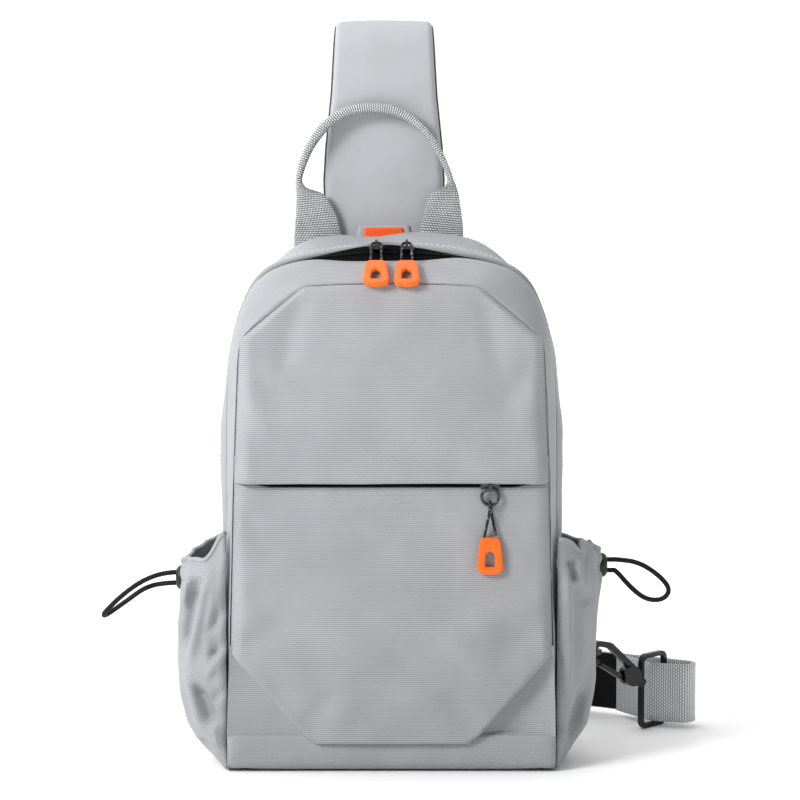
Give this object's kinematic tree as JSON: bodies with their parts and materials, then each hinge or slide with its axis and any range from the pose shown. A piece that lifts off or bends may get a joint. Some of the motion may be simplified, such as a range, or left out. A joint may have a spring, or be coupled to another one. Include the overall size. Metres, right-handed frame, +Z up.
{
  "type": "sling daypack",
  "caption": "Single-strap sling daypack with zipped main and front pockets, drawcord side pockets, grab handle, padded strap and snap hook.",
  "frame": {"origin": "centre of the flat base that the bag stands on", "axes": "+Z up, -Y out of the front pocket, +X to the right of someone looking at the front"},
  "size_m": [0.3723, 0.2258, 0.4505],
  "materials": {
    "shell_fabric": "grey coated nylon with a fine weave",
    "back_fabric": "dark polyester",
    "air_mesh": "black spacer mesh",
    "strap_foam": "foam core",
    "lining": "thin polyester lining",
    "zip_tape": "black woven tape",
    "zip_coil": "black nylon coil",
    "zip_metal": "gunmetal black",
    "pull_cord": "grey and black braid",
    "pull_grip": "matt orange rubber",
    "label": "matt orange",
    "handle_webbing": "ribbed light grey webbing",
    "strap_webbing": "ribbed grey webbing",
    "adjuster_plastic": "satin black",
    "black_metal": "glossy black",
    "elastic": "black braided elastic",
    "stop_plastic": "satin black"
  },
  "bodies": {
    "root": {"rear_gusset": "shell_fabric", "front_gusset": "shell_fabric", "main_zip_tape": "zip_tape", "main_zip_coil": "zip_coil", "back_panel": "back_fabric", "back_pad_left": "air_mesh", "back_pad_right": "air_mesh", "inner_sleeve": "lining", "front_wall": "lining", "base_panel": "shell_fabric", "bottom_band": "shell_fabric", "front_panel": "shell_fabric", "corner_gusset_left": "shell_fabric", "corner_gusset_right": "shell_fabric", "front_flap": "shell_fabric", "front_zip_tape": "zip_tape", "front_zip_coil": "zip_coil", "strap_foam": "strap_foam", "strap_face": "shell_fabric", "strap_mesh": "air_mesh", "label_patch": "label", "tri_glide": "adjuster_plastic", "adjuster_tab": "strap_webbing", "strap_webbing": "strap_webbing", "hook_eye": "black_metal", "d_ring_right": "black_metal", "d_ring_tab_right": "strap_webbing", "d_ring_tab_left": "strap_webbing", "side_pocket_left": "shell_fabric", "side_pocket_right": "shell_fabric", "pocket_cord_left": "elastic", "pocket_cord_right": "elastic"},
    "front_slider": {"front_zip_slider": "zip_metal"},
    "front_pull": {"front_zip_ring": "zip_metal", "front_pull_cord": "pull_cord", "front_pull_grip": "pull_grip"},
    "slider_left": {"main_slider_left": "zip_metal"},
    "pull_left": {"pull_cord_left": "pull_cord", "pull_grip_left": "pull_grip"},
    "slider_right": {"main_slider_right": "zip_metal"},
    "pull_right": {"pull_cord_right": "pull_cord", "pull_grip_right": "pull_grip"},
    "handle": {"grab_handle": "handle_webbing"},
    "hook": {"hook_body": "black_metal", "gate_pin": "black_metal"},
    "gate": {"hook_gate": "black_metal"},
    "ring_left": {"d_ring_left": "black_metal"},
    "stop_left": {"cord_stop_left": "stop_plastic"},
    "stop_right": {"cord_stop_right": "stop_plastic"}
  },
  "joints": [
    {"name": "front_zip", "type": "slide", "parent": "root", "child": "front_slider", "axis": [1, 0, 0], "range_m": [-0.132, 0.016]},
    {"name": "front_pull_swing", "type": "hinge", "parent": "front_slider", "child": "front_pull", "pos_m": [0.058, -0.053, 0.1703], "axis": [-1, 0, 0], "range_deg": [0, 120]},
    {"name": "main_zip_left", "type": "hinge", "parent": "root", "child": "slider_left", "pos_m": [0, -0.02, 0.06517], "axis": [0, -1, 0], "range_deg": [0, 5]},
    {"name": "pull_left_swing", "type": "hinge", "parent": "slider_left", "child": "pull_left", "pos_m": [-0.009, -0.024, 0.3134], "axis": [-1, 0, 0], "range_deg": [0, 130]},
    {"name": "main_zip_right", "type": "hinge", "parent": "root", "child": "slider_right", "pos_m": [0, -0.02, 0.06517], "axis": [0, 1, 0], "range_deg": [0, 5]},
    {"name": "pull_right_swing", "type": "hinge", "parent": "slider_right", "child": "pull_right", "pos_m": [0.009, -0.024, 0.3134], "axis": [-1, 0, 0], "range_deg": [0, 130]},
    {"name": "handle_fold", "type": "hinge", "parent": "root", "child": "handle", "pos_m": [-0.0095, 0.046, 0.3182], "axis": [1, 0, 0], "range_deg": [0, 55], "stiffness_Nm_per_rad": 0.02, "springref_deg": -5.73},
    {"name": "hook_swivel", "type": "hinge", "parent": "root", "child": "hook", "pos_m": [0.158, 0.073, 0.032], "axis": [-0.6735, -0.4939, 0.55], "range_deg": [-10, 10]},
    {"name": "gate_hinge", "type": "hinge", "parent": "hook", "child": "gate", "pos_m": [0.14754, 0.06533, 0.03503], "axis": [-0.5914, 0.8064, 0], "range_deg": [0, 20], "stiffness_Nm_per_rad": 0.03, "springref_deg": -17.19},
    {"name": "left_ring_swing", "type": "hinge", "parent": "root", "child": "ring_left", "pos_m": [-0.1072, 0.0415, 0.057], "axis": [0, 1, 0], "range_deg": [0, 100]},
    {"name": "left_stop_slide", "type": "slide", "parent": "root", "child": "stop_left", "axis": [-1, 0, 0], "range_m": [0, 0.002]},
    {"name": "right_stop_slide", "type": "slide", "parent": "root", "child": "stop_right", "axis": [1, 0, 0], "range_m": [0, 0.002]}
  ]
}
